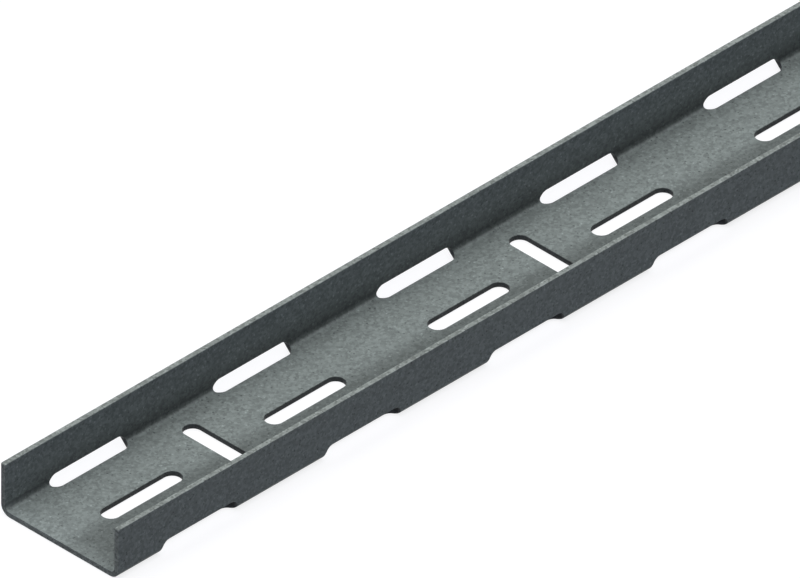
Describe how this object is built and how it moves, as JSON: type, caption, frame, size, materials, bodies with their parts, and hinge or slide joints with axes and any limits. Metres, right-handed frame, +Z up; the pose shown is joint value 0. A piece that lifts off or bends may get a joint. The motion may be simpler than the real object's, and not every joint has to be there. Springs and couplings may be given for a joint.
{
  "type": "cable tray",
  "caption": "Shallow U-section cable tray folded from galvanised sheet, with round-ended slots along the middle of its floor, along its bottom bends and across its floor.",
  "frame": {"origin": "middle of the underside: halfway along the tray and halfway across it, on the floor's lower face", "axes": "+X along the tray, +Y across it towards one wall, +Z up out of the open channel"},
  "size_m": [1.5, 0.054, 0.02],
  "materials": {
    "galvanised_steel": "satin"
  },
  "bodies": {
    "root": {"cable_tray": "galvanised_steel"}
  },
  "joints": []
}
